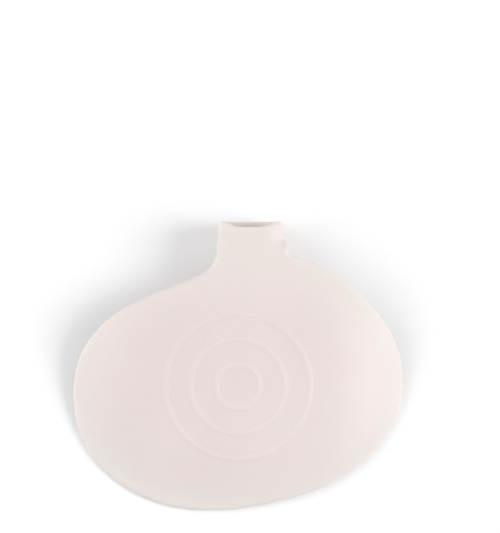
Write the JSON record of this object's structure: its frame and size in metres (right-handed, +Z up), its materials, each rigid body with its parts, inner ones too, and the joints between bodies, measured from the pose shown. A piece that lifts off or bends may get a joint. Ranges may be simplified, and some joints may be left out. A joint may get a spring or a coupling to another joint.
{
  "type": "metatarsal pad",
  "caption": "Soft gel cushion for the ball of a right foot, with concentric raised rings on its sole face and a loop for the second toe.",
  "frame": {"origin": "on the table under the middle of the resting pad's bounding box", "axes": "+X across the foot towards the big toe, +Y towards the toes, +Z up, with the sole face up"},
  "size_m": [0.092, 0.0816, 0.0172],
  "materials": {
    "gel": "satin, slightly translucent white gel"
  },
  "bodies": {
    "root": {"metatarsal_pad": "gel"}
  },
  "joints": []
}
